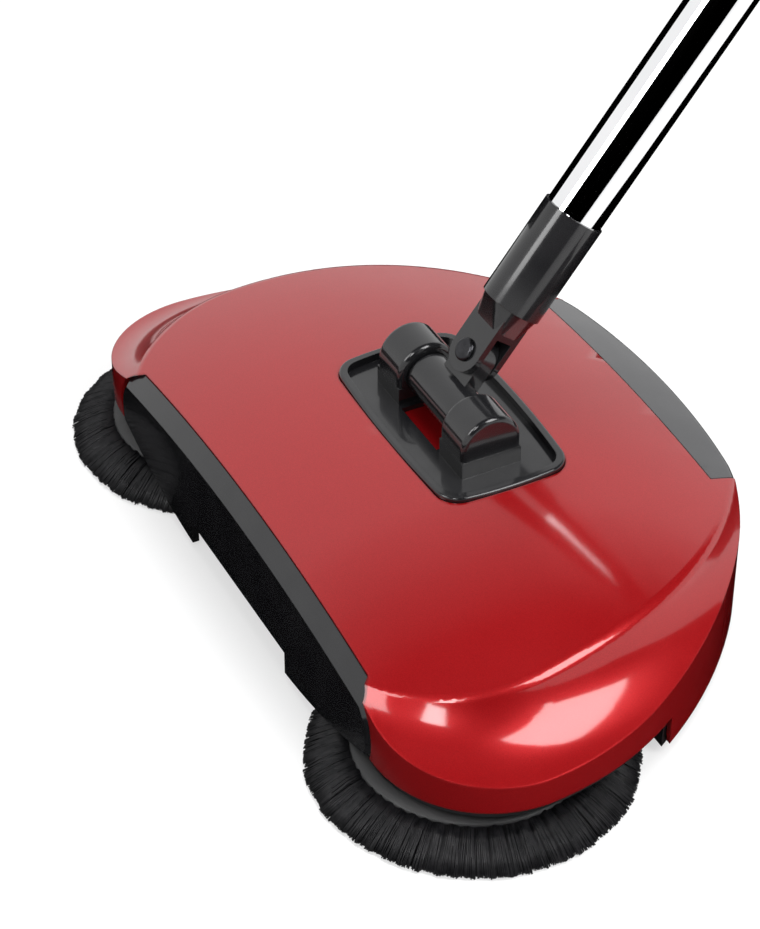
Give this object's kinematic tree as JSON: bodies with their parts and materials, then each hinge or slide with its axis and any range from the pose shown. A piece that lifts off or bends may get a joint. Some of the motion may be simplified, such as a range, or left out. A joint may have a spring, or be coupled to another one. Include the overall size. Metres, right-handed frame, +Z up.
{
  "type": "push sweeper",
  "caption": "Push-along floor sweeper: domed shell over spinning side brushes, a roller brush and a slide-out dust box, with a two-way jointed tube handle.",
  "frame": {"origin": "on the floor, midway between the two side-brush axes", "axes": "+Z up, -Y the direction it is pushed, +X to the right seen from the front-facing roller side with the nose at -Y"},
  "size_m": [0.3726, 0.6474, 0.7619],
  "materials": {
    "red_shell": "glossy metallic red moulded plastic",
    "black_gloss": "glossy black moulded plastic",
    "black_plastic": "satin black moulded plastic",
    "clear_smoke": "smoked plastic tray",
    "gear_nylon": "natural nylon",
    "bush_nylon": "natural acetal",
    "bristle": "black nylon bristle",
    "rubber": "moulded rubber tyre",
    "soft_grip": "soft ribbed grip",
    "glide_felt": "low-friction glide pad",
    "tube_steel": "polished stainless tube",
    "pin_steel": "plain steel pin",
    "screw_zinc": "zinc-plated screw"
  },
  "bodies": {
    "chassis": {"top_cover": "red_shell", "front_lip": "black_gloss", "base_plate": "black_plastic", "handle_plate": "black_gloss", "left_pivot_cap": "black_gloss", "right_pivot_cap": "black_gloss", "pivot_axle": "pin_steel", "pivot_screws": "screw_zinc", "cover_screws": "screw_zinc", "rear_glides": "glide_felt", "left_wheel_axle": "pin_steel", "right_wheel_axle": "pin_steel", "idler_pin": "pin_steel", "shaft_bushes": "bush_nylon", "spindle_bushes": "bush_nylon"},
    "right_wheel": {"right_wheel_hub": "black_plastic", "right_tyre": "rubber", "drive_gear": "gear_nylon"},
    "left_wheel": {"left_wheel_hub": "black_plastic", "left_tyre": "rubber"},
    "idler": {"idler_gear": "gear_nylon"},
    "roller": {"brush_shaft": "pin_steel", "shaft_gear": "gear_nylon", "roller_core": "black_plastic", "roller_bristles": "bristle", "left_pinion": "gear_nylon", "right_pinion": "gear_nylon"},
    "right_brush": {"right_spindle": "pin_steel", "right_bevel_gear": "gear_nylon", "right_brush_hub": "black_plastic", "right_bristles": "bristle", "right_hub_screw": "screw_zinc"},
    "left_brush": {"left_spindle": "pin_steel", "left_bevel_gear": "gear_nylon", "left_brush_hub": "black_plastic", "left_bristles": "bristle", "left_hub_screw": "screw_zinc"},
    "dust_box": {"dust_tray": "clear_smoke", "dust_box_cap": "black_gloss", "dust_box_screws": "screw_zinc"},
    "knuckle": {"knuckle": "black_gloss", "cross_pin": "pin_steel"},
    "handle": {"socket_yoke": "black_gloss", "lower_tube": "tube_steel", "middle_tube": "tube_steel", "upper_tube": "tube_steel", "lower_coupler": "black_plastic", "upper_coupler": "black_plastic", "grip": "soft_grip", "end_cap": "black_plastic"}
  },
  "joints": [
    {"name": "right_wheel_spin", "type": "hinge", "parent": "chassis", "child": "right_wheel", "pos_m": [0.066, 0.064, 0.026], "axis": [1, 0, 0], "continuous": true},
    {"name": "left_wheel_spin", "type": "hinge", "parent": "chassis", "child": "left_wheel", "pos_m": [-0.066, 0.064, 0.026], "axis": [1, 0, 0], "continuous": true},
    {"name": "idler_spin", "type": "hinge", "parent": "chassis", "child": "idler", "pos_m": [0.0537, 0.02791, 0.03789], "axis": [1, 0, 0], "continuous": true},
    {"name": "roller_spin", "type": "hinge", "parent": "chassis", "child": "roller", "pos_m": [0, 0, 0.03], "axis": [1, 0, 0], "continuous": true},
    {"name": "right_brush_spin", "type": "hinge", "parent": "chassis", "child": "right_brush", "pos_m": [0.1183, 0, 0.011], "axis": [0, 0, 1], "continuous": true},
    {"name": "left_brush_spin", "type": "hinge", "parent": "chassis", "child": "left_brush", "pos_m": [-0.1183, 0, 0.011], "axis": [0, 0, 1], "continuous": true},
    {"name": "dust_box_slide", "type": "slide", "parent": "chassis", "child": "dust_box", "axis": [0, 1, 0], "range_m": [0, 0.1]},
    {"name": "handle_pitch", "type": "hinge", "parent": "chassis", "child": "knuckle", "pos_m": [0, 0.051, 0.0795], "axis": [1, 0, 0], "range_deg": [-40, 40]},
    {"name": "handle_roll", "type": "hinge", "parent": "knuckle", "child": "handle", "pos_m": [0, 0.06406, 0.09645], "axis": [0, -0.7923, 0.6101], "range_deg": [-50, 50]}
  ],
  "couplings": [
    {"joint": "idler_spin", "follows": "right_wheel_spin", "ratio": -0.9},
    {"joint": "roller_spin", "follows": "right_wheel_spin", "ratio": 2},
    {"joint": "right_brush_spin", "follows": "right_wheel_spin", "ratio": -2},
    {"joint": "left_brush_spin", "follows": "right_wheel_spin", "ratio": 2}
  ]
}
